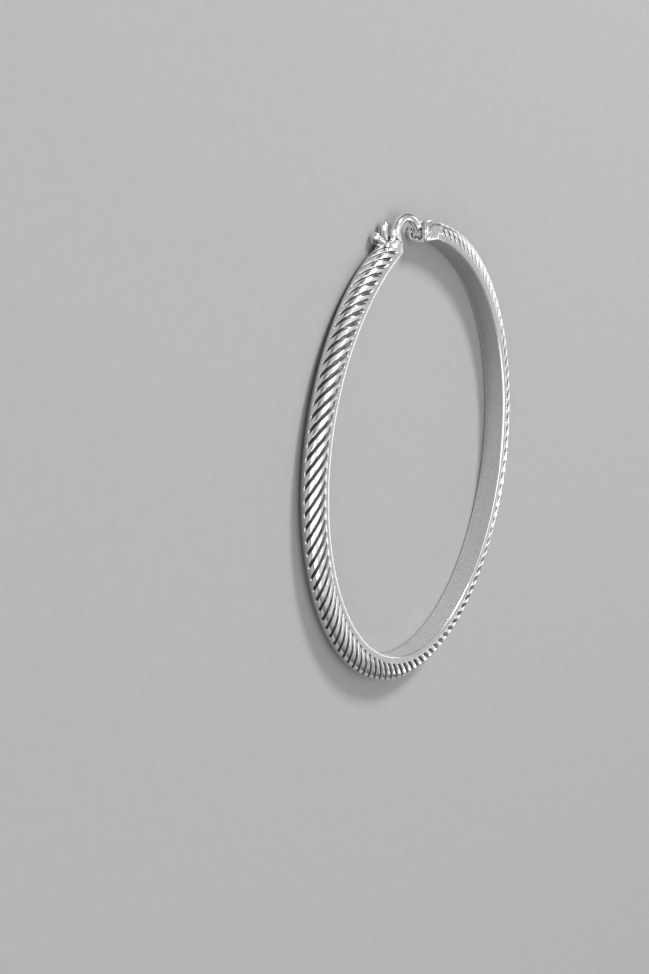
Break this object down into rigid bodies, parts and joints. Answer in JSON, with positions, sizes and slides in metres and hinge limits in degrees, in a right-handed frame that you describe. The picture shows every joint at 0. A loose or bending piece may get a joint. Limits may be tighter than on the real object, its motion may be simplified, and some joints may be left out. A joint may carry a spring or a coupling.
{
  "type": "hoop earring",
  "caption": "Large round hoop earring with slanted ribs on its outer face, a hinged arched ear wire and a flared catch.",
  "frame": {"origin": "middle of the base: the lower side rim of the hoop lies on z = 0", "axes": "+Z along the hoop's axis, away from the rim it rests on; +Y toward the middle of the ear wire; the hinge is on the +X side"},
  "size_m": [0.05, 0.0516, 0.0025],
  "materials": {
    "polished_silver": "polished"
  },
  "bodies": {
    "hoop_body": {"hoop": "polished_silver", "hinge_pin": "polished_silver"},
    "ear_wire_body": {"ear_wire": "polished_silver"}
  },
  "joints": [
    {"name": "ear_wire_hinge", "type": "hinge", "parent": "hoop_body", "child": "ear_wire_body", "pos_m": [0.00286, 0.02296, 0.00125], "axis": [0, 0, -1], "range_deg": [0, 70]}
  ]
}
